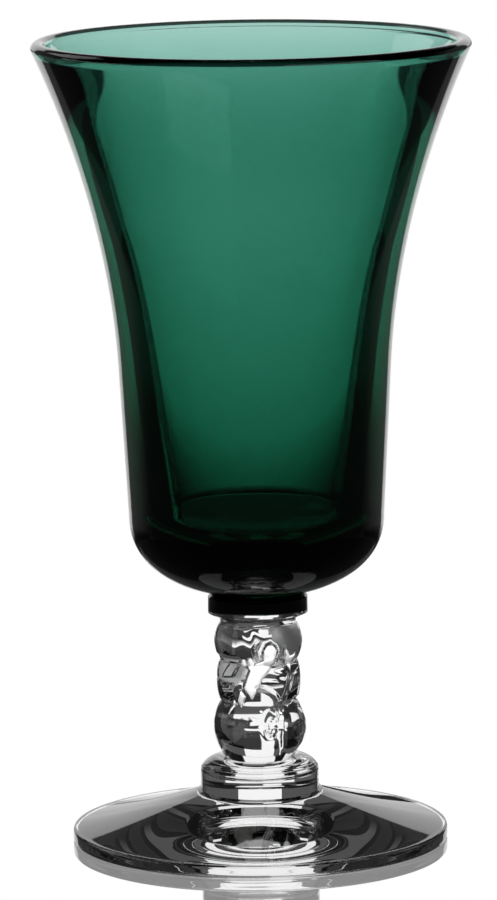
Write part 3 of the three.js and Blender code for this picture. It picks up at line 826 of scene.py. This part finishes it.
def clear_joint(metal):
    """The inside of a fused joint: the same metal with no skin, so light goes straight on."""
    def without_skin(tree):
        tree.nodes["Principled BSDF"].inputs["Alpha"].default_value = 0.0

    return changed_metal(metal, "_clear_joint", without_skin)


def glancing_joint(metal):
    """The seam over the foot: light from above glances off it, light from below goes straight on."""
    def one_way(tree):
        side = node(tree, "ShaderNodeNewGeometry").outputs["Backfacing"]
        tree.links.new(side, tree.nodes["Principled BSDF"].inputs["Alpha"])

    return changed_metal(metal, "_glancing_joint", one_way)


def satin_metal(metal):
    """The same metal where the mould left a satin skin."""
    finish = bpy.context.scene.glass_finish

    def satin(tree):
        rough = next(item for item in tree.nodes if item.bl_idname == "ShaderNodeMapRange")
        rough.inputs["To Min"].default_value = finish.satin
        rough.inputs["To Max"].default_value = finish.satin + SATIN_SPREAD
        tree.nodes["Principled BSDF"].inputs["Transmission Weight"].default_value = 1 - finish.satin_white

    return changed_metal(metal, "_satin", satin)


def green_glass(finish):
    """The green metal of bowl and button."""
    return bpy.data.materials.get("green_metal") or glass_material(
        "green_metal", finish.green, finish.green_strength, finish.refraction, FIRE_POLISH)


def clear_glass(finish):
    """The clear metal of the foot."""
    return bpy.data.materials.get("clear_metal") or glass_material(
        "clear_metal", finish.clear, finish.clear_strength, finish.refraction, FIRE_POLISH)


def pressed_glass(finish):
    """The clear metal of stem and collar, with the skin that a mould leaves."""
    return bpy.data.materials.get("pressed_metal") or glass_material(
        "pressed_metal", finish.clear, finish.clear_strength, finish.refraction, MOULD_SKIN)


# Studio

# How far round the dark cards reach, and how much light they keep
CARD_HALF = math.radians(70)
CARD_LIGHT = 0.04
# Openings in the card on the table: reach from and to in millimetres, and degrees from and to
CARD_OPENINGS = (
    (72, 105, -21, 7),
    (105, 135, -14, -1),
    (135, 170, -20, 12),
)
CARD_NEAR = CARD_OPENINGS[0][0] * MILLIMETRE
CARD_FAR = CARD_OPENINGS[-1][1] * MILLIMETRE
# How far the card goes on behind its last opening
CARD_MARGIN = 30 * MILLIMETRE
# Lit panels round the room, out of the picture's sight: degrees from, to, bottom and top
ROOM_PANELS = (
    (-70, -34, 20, 45),
    (-116, -64, -1, 10.5),
    (108, 162, 8, 27),
)
# Soft edges of cards and panels
SOFT_TURN = math.radians(0.7)
SOFT_REACH = 2 * MILLIMETRE
# Soft edges of the panel and the walls, and where the walls end overhead, as shares of half a turn
SOFT_SIDE_SHARE = 0.004
WALL_FADE_SHARE = 0.05
SOFT_TOP_SHARE = 0.001
WALL_TOP_SHARE = 0.85
# Place of the horizon between straight down and straight up
HORIZON_SHARE = 0.5
# Counts of bounces are compared with the half above them
NO_BOUNCE = 0.5
ONE_BOUNCE = 1.5
TWO_BOUNCES = 2.5
# Height in radians of a card that is taken away, under the horizon
TAKEN_AWAY = -0.1
# Table: half its side in metres, its place under the foot, and its roughness
TABLE_REACH = 12.0
TABLE_DROP = 0.03 * MILLIMETRE
TABLE_ROUGHNESS = 0.02
# Lamp and camera
LAMP_ANGLE = math.radians(2)
SENSOR_WIDTH = 36
NEAREST, FURTHEST = 0.01, 100
# Bounces that the glass needs
GLASS_BOUNCES = 32
GLOSSY_BOUNCES = 16


def ramp(tree, value, stops):
    """A colour ramp from grey levels at places from 0 to 1."""
    made = node(tree, "ShaderNodeValToRGB", {0: value})
    entries = made.color_ramp.elements
    while len(entries) < len(stops):
        entries.new(0.5)
    for entry, (place, level) in zip(entries, stops):
        entry.position = place
        entry.color = (level, level, level, 1)
    return made.outputs[0]


def between(tree, part, first, second):
    """A number that goes from the first to the second as the part goes from 0 to 1."""
    return node(tree, "ShaderNodeMapRange", {"Value": part, "To Min": first, "To Max": second}).outputs[0]


def easing(tree, value, start, end, first=0.0, second=1.0):
    """A number that eases from the first to the second as the value goes from start to end."""
    return node(tree, "ShaderNodeMapRange", {
        "Value": value, "From Min": start, "From Max": end, "To Min": first, "To Max": second},
        interpolation_type="SMOOTHSTEP").outputs[0]


def window(tree, level, *ranges):
    """The level where each value is inside its range, given with a soft edge, and 0 elsewhere."""
    result = level
    for value, start, end, soft in ranges:
        for edge, sign in ((start, 1), (end, -1)):
            fade = easing(tree, value, edge - sign * soft, edge + sign * soft)
            result = math_node(tree, "MULTIPLY", fade, result)
    return result


def panel_and_walls(tree, studio, turn, rise, rays):
    """Light of the panel behind the glass, of the grey walls beside it and of the room."""
    azimuth = math_node(tree, "ABSOLUTE", turn)
    panel, wall = studio.panel_half / math.pi, studio.wall_half / math.pi
    side = ramp(tree, math_node(tree, "DIVIDE", azimuth, math.pi), (
        (panel - SOFT_SIDE_SHARE, 1.0), (panel + SOFT_SIDE_SHARE, studio.wall_light),
        (wall - WALL_FADE_SHARE, studio.wall_light), (wall + WALL_FADE_SHARE, studio.room_light)))
    sides = rays["Is Transmission Ray"]
    for condition in (math_node(tree, "GREATER_THAN", azimuth, studio.clear_half),
                      math_node(tree, "LESS_THAN", azimuth, studio.panel_half + SOFT_TURN),
                      math_node(tree, "GREATER_THAN", rise, studio.clear_rise)):
        sides = math_node(tree, "MULTIPLY", sides, condition)
    side = between(tree, sides, side, studio.wall_light)
    top = studio.panel_top / math.pi + HORIZON_SHARE
    up_share = math_node(tree, "ADD", math_node(tree, "DIVIDE", rise, math.pi), HORIZON_SHARE)
    above = ramp(tree, up_share, ((top - SOFT_TOP_SHARE, 1.0), (top + SOFT_TOP_SHARE, studio.wall_light),
                                  (WALL_TOP_SHARE, studio.room_light)))
    return math_node(tree, "MULTIPLY", side, above)


def low_cards(tree, studio, turn, rise, rays, shown):
    """Share of the light that the low cards beside the window let by."""
    window_gap = window(tree, 1.0, (turn, studio.low_left, studio.low_right, SOFT_TURN))
    card = math_node(tree, "MULTIPLY", math_node(tree, "SUBTRACT", 1.0, window_gap),
                     window(tree, 1.0, (turn, -CARD_HALF, CARD_HALF, SOFT_TURN)))
    passed = rays["Transmission Depth"]
    uncarded = math_node(tree, "MAXIMUM", math_node(tree, "LESS_THAN", passed, NO_BOUNCE),
                         math_node(tree, "GREATER_THAN", passed, TWO_BOUNCES))
    uncarded = math_node(tree, "MULTIPLY", shown, uncarded)
    mirrored_top = between(tree, uncarded, studio.mirrored_top, TAKEN_AWAY)
    low_top = between(tree, rays["Is Transmission Ray"], mirrored_top, studio.low_top)
    covered = math_node(tree, "MULTIPLY", card, math_node(tree, "LESS_THAN", rise, low_top))
    return math_node(tree, "SUBTRACT", 1.0, math_node(tree, "MULTIPLY", covered, 1 - CARD_LIGHT))


def lit_room(studio):
    """World: white for the camera; for light in the glass, a lit panel behind it in a dim room."""
    world = bpy.data.worlds.new("studio_room")
    world.use_nodes = True
    tree = world.node_tree
    tree.nodes.clear()
    look = node(tree, "ShaderNodeTexCoord").outputs["Generated"]
    parts = node(tree, "ShaderNodeSeparateXYZ", {0: look}).outputs
    turn = math_node(tree, "ARCTAN2", parts["X"], parts["Y"])
    azimuth = math_node(tree, "ABSOLUTE", turn)
    rise = math_node(tree, "ARCSINE", parts["Z"])
    rays = node(tree, "ShaderNodeLightPath").outputs
    shown = math_node(tree, "MULTIPLY", math_node(tree, "LESS_THAN", rays["Glossy Depth"], ONE_BOUNCE),
                      rays["Is Glossy Ray"])
    glow = math_node(tree, "MULTIPLY", panel_and_walls(tree, studio, turn, rise, rays),
                     low_cards(tree, studio, turn, rise, rays, shown))
    patches = [
        (window(tree, level, (azimuth, -half, half, SOFT_TURN), (rise, bottom, top, SOFT_TURN)),
         rays["Is Transmission Ray"])
        for half, bottom, top, level in (
            (studio.strip_half, studio.panel_top, studio.strip_top, studio.strip_light),
            (studio.crown_half, studio.strip_top, studio.crown_top, studio.crown_light))]
    for sides in ROOM_PANELS:
        left, right, bottom, top = (math.radians(side) for side in sides)
        panel = window(tree, 1.0, (turn, left, right, SOFT_TURN), (rise, bottom, top, SOFT_TURN))
        patches.append((panel, shown))
    for patch, condition in patches:
        glow = math_node(tree, "MAXIMUM", glow, math_node(tree, "MULTIPLY", patch, condition))
    strength = node(tree, "ShaderNodeMix", {"Factor": rays["Is Camera Ray"], "A": glow, "B": 1.0},
                    data_type="FLOAT")
    background = node(tree, "ShaderNodeBackground", {"Color": (1, 1, 1, 1), "Strength": strength.outputs[0]})
    node(tree, "ShaderNodeOutputWorld", {"Surface": background.outputs[0]})
    bpy.context.scene.world = world


def card_shade(tree, reach, turn):
    """How much of its mirror the table keeps: little where the dark card lies, outside its openings."""
    card = window(tree, 1.0, (reach, CARD_NEAR, CARD_FAR + CARD_MARGIN, SOFT_REACH),
                  (turn, -CARD_HALF, CARD_HALF, SOFT_TURN))
    opening = 0.0
    for start, end, left, right in CARD_OPENINGS:
        gap = window(tree, 1.0, (reach, start * MILLIMETRE, end * MILLIMETRE, SOFT_REACH),
                     (turn, math.radians(left), math.radians(right), SOFT_TURN))
        opening = math_node(tree, "ADD", opening, gap)
    covered = math_node(tree, "MULTIPLY", card, math_node(tree, "SUBTRACT", 1.0, opening))
    return math_node(tree, "SUBTRACT", 1.0, math_node(tree, "MULTIPLY", covered, 1 - CARD_LIGHT))


def torn_place(tree, studio, place):
    """Reach and turn of a place on the table, shifted a little so that the card's edges are ragged."""
    uneven = noise(tree, place, scale=1 / studio.tear_size, detail=3.0)["Color"]
    shift = node(tree, "ShaderNodeVectorMath", {
        0: uneven, 1: (studio.tear_depth, studio.tear_depth, 0), 2: place}, operation="MULTIPLY_ADD")
    parts = node(tree, "ShaderNodeSeparateXYZ", {0: shift.outputs[0]}).outputs
    across = math_node(tree, "SUBTRACT", parts["X"], studio.tear_depth / 2)
    away = math_node(tree, "SUBTRACT", parts["Y"], studio.tear_depth / 2)
    squares = [math_node(tree, "MULTIPLY", part, part) for part in (across, away)]
    reach = math_node(tree, "SQRT", math_node(tree, "ADD", *squares))
    return reach, math_node(tree, "ARCTAN2", across, away)


def mirror_shade(tree, studio, place, reach):
    """How much the table mirrors for light in the glass: less on the card, more again far off."""
    torn_reach, turn = torn_place(tree, studio, place)
    fade = easing(tree, reach, studio.fade_from, studio.fade_to)
    inside = math_node(tree, "LESS_THAN", reach, CARD_FAR)
    shade = between(tree, inside, fade, card_shade(tree, torn_reach, turn))
    facing = node(tree, "ShaderNodeLayerWeight").outputs["Facing"]
    behind = math_node(tree, "LESS_THAN", math_node(tree, "ABSOLUTE", turn), CARD_HALF)
    grazing = math_node(tree, "GREATER_THAN", facing, 1 - math.sin(studio.panel_top))
    return between(tree, math_node(tree, "MULTIPLY", behind, grazing), 1.0, shade)


def table_material(studio):
    """Pale table that mirrors softly near the glass and is plain white further off."""
    material = bpy.data.materials.new("pale_table")
    material.use_nodes = True
    tree = material.node_tree
    tree.nodes.clear()
    place = node(tree, "ShaderNodeTexCoord").outputs["Object"]
    reach = node(tree, "ShaderNodeVectorMath", {0: place}, operation="LENGTH").outputs["Value"]
    near = easing(tree, reach, studio.table_patch, 2 * studio.table_patch, 1.0, 0.0)
    shade = mirror_shade(tree, studio, place, reach)
    seen = node(tree, "ShaderNodeLightPath").outputs["Is Camera Ray"]
    dimmed = math_node(tree, "MULTIPLY", shade, 1 - studio.table_dim)
    mirror = node(tree, "ShaderNodeBsdfAnisotropic", {
        "Color": between(tree, seen, dimmed, studio.table_gloss), "Roughness": TABLE_ROUGHNESS})
    own = node(tree, "ShaderNodeEmission", {
        "Strength": between(tree, seen, studio.table_dim, studio.table_light)})
    glossy = node(tree, "ShaderNodeAddShader", {0: mirror.outputs[0], 1: own.outputs[0]})
    plain = node(tree, "ShaderNodeEmission", {"Strength": 1.0})
    near_or_unseen = math_node(tree, "MAXIMUM", near, math_node(tree, "SUBTRACT", 1.0, seen))
    mixed = node(tree, "ShaderNodeMixShader", {0: near_or_unseen, 1: plain.outputs[0], 2: glossy.outputs[0]})
    node(tree, "ShaderNodeOutputMaterial", {"Surface": mixed.outputs[0]})
    return material


def table_top(studio):
    """The table, just under the foot."""
    mesh = bpy.data.meshes.new("table_top_mesh")
    corners = [(x * TABLE_REACH, y * TABLE_REACH, -TABLE_DROP)
               for x, y in ((-1, -1), (1, -1), (1, 1), (-1, 1))]
    mesh.from_pydata(corners, [], [(0, 1, 2, 3)])
    mesh.materials.append(table_material(studio))
    table = bpy.data.objects.new("table_top", mesh)
    bpy.context.scene.collection.objects.link(table)


def key_light(studio):
    """A small lamp high at the front, shaded so that it lights only the stem."""
    data = bpy.data.lights.new("key_light", "SUN")
    data.energy = studio.key_light
    data.angle = LAMP_ANGLE
    lamp = bpy.data.objects.new("key_light", data)
    bpy.context.scene.collection.objects.link(lamp)
    lamp.rotation_euler = (math.pi / 2 - studio.key_rise, 0, studio.key_turn)
    lit = bpy.data.collections.new("lit_by_key_light")
    lit.objects.link(bpy.data.objects["carved_stem"])
    lamp.light_linking.receiver_collection = lit


def camera(studio):
    """The camera at the picture's angle."""
    data = bpy.data.cameras.new("studio_camera")
    data.lens = studio.lens
    data.sensor_width = SENSOR_WIDTH
    data.shift_x, data.shift_y = studio.shift_x, studio.shift_y
    data.clip_start, data.clip_end = NEAREST, FURTHEST
    made = bpy.data.objects.new("studio_camera", data)
    bpy.context.scene.collection.objects.link(made)
    pitch = math.atan2(studio.height - studio.aim, studio.distance)
    turn = Matrix.Rotation(math.pi / 2 - pitch, 4, "X") @ Matrix.Rotation(studio.roll, 4, "Z")
    made.matrix_world = Matrix.Translation((0, -studio.distance, studio.height)) @ turn
    bpy.context.scene.camera = made


class GLASS_OT_bowl(bpy.types.Operator):
    """Blow the green bowl and press the button under it"""

    bl_idname = "glass.bowl"
    bl_label = "Bowl and button"

    def execute(self, context):
        scene = context.scene
        finish = scene.glass_finish
        green = green_glass(finish)
        seat = scene.bowl_sizes.seat_radius
        bowl = turned_piece("green_bowl", bowl_profile(scene.bowl_sizes, finish.weld), green, finish,
                            [(low("bowl") - finish.weld, seat)])
        button_joints = [(low("bowl_button") - finish.weld, widest("bowl_button")),
                         (high("bowl_button"), seat)]
        button = turned_piece("green_button", button_profile(scene.bowl_sizes, finish.weld), green, finish,
                              button_joints)
        for piece, cad_node in ((bowl, "bowl"), (button, "bowl_button")):
            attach(piece, "root")
            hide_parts(cad_node)
        return {"FINISHED"}


class GLASS_OT_stem(bpy.types.Operator):
    """Press the stem with its scrolls and leaves"""

    bl_idname = "glass.stem"
    bl_label = "Stem"

    def execute(self, context):
        scene = context.scene
        finish = scene.glass_finish
        mesh, satin = stem_mesh(scene.stem_sizes, finish.weld)
        mesh.materials.append(pressed_glass(finish))
        joints = [(low("stem") - finish.weld, scene.stem_sizes.seat_radius),
                  (high("stem"), widest("bowl_button"))]
        stem = finished_piece("carved_stem", mesh, joints, satin=satin)
        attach(stem, "root")
        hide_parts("stem")
        return {"FINISHED"}


class GLASS_OT_collar(bpy.types.Operator):
    """Press the ridged collar"""

    bl_idname = "glass.collar"
    bl_label = "Collar"

    def execute(self, context):
        scene = context.scene
        finish = scene.glass_finish
        profile = collar_profile(scene.collar_sizes, scene.stem_sizes.seat_radius, finish.weld)
        collar = turned_piece("ridged_collar", profile, pressed_glass(finish), finish,
                              [(high("stem_collar"), scene.stem_sizes.seat_radius)],
                              [(low("stem_collar") - finish.weld, scene.collar_sizes.hub_radius)])
        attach(collar, "root")
        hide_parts("stem_collar")
        return {"FINISHED"}


class GLASS_OT_foot(bpy.types.Operator):
    """Spin the domed foot"""

    bl_idname = "glass.foot"
    bl_label = "Foot"

    def execute(self, context):
        scene = context.scene
        finish = scene.glass_finish
        profile = foot_profile(scene.foot_sizes, scene.collar_sizes)
        foot = turned_piece("domed_foot", profile, clear_glass(finish), finish,
                            [(high("foot"), scene.collar_sizes.hub_radius)])
        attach(foot, "root")
        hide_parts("foot")
        return {"FINISHED"}


class GLASS_OT_studio(bpy.types.Operator):
    """Set up the table, the light and the camera"""

    bl_idname = "glass.studio"
    bl_label = "Studio"

    def execute(self, context):
        studio = context.scene.glass_studio
        table_top(studio)
        lit_room(studio)
        camera(studio)
        key_light(studio)
        scene = context.scene
        scene.view_settings.view_transform = "Standard"
        scene.cycles.max_bounces = GLASS_BOUNCES
        scene.cycles.transmission_bounces = GLASS_BOUNCES
        scene.cycles.glossy_bounces = GLOSSY_BOUNCES
        return {"FINISHED"}


class GLASS_PT_panel(bpy.types.Panel):
    """Lists the pieces of the glass"""

    bl_label = "Footed juice glass"
    bl_space_type = "VIEW_3D"
    bl_region_type = "UI"
    bl_category = "Glass"

    def draw(self, context):
        for operator in OPERATORS:
            self.layout.operator(operator.bl_idname)


GROUPS = {"bowl_sizes": BowlSizes, "stem_sizes": StemSizes, "collar_sizes": CollarSizes,
          "foot_sizes": FootSizes, "glass_finish": GlassFinish, "glass_studio": Studio}
OPERATORS = (GLASS_OT_bowl, GLASS_OT_stem, GLASS_OT_collar, GLASS_OT_foot, GLASS_OT_studio)


def register():
    for group in GROUPS.values():
        bpy.utils.register_class(group)
    for operator in OPERATORS:
        bpy.utils.register_class(operator)
    bpy.utils.register_class(GLASS_PT_panel)
    for name, group in GROUPS.items():
        setattr(bpy.types.Scene, name, PointerProperty(type=group))


def unregister():
    for name in GROUPS:
        delattr(bpy.types.Scene, name)
    bpy.utils.unregister_class(GLASS_PT_panel)
    for kind in reversed((*GROUPS.values(), *OPERATORS)):
        bpy.utils.unregister_class(kind)


def main():
    register()
    bpy.ops.glass.bowl()
    bpy.ops.glass.stem()
    bpy.ops.glass.collar()
    bpy.ops.glass.foot()
    bpy.ops.glass.studio()


if __name__ == "__main__":
    main()
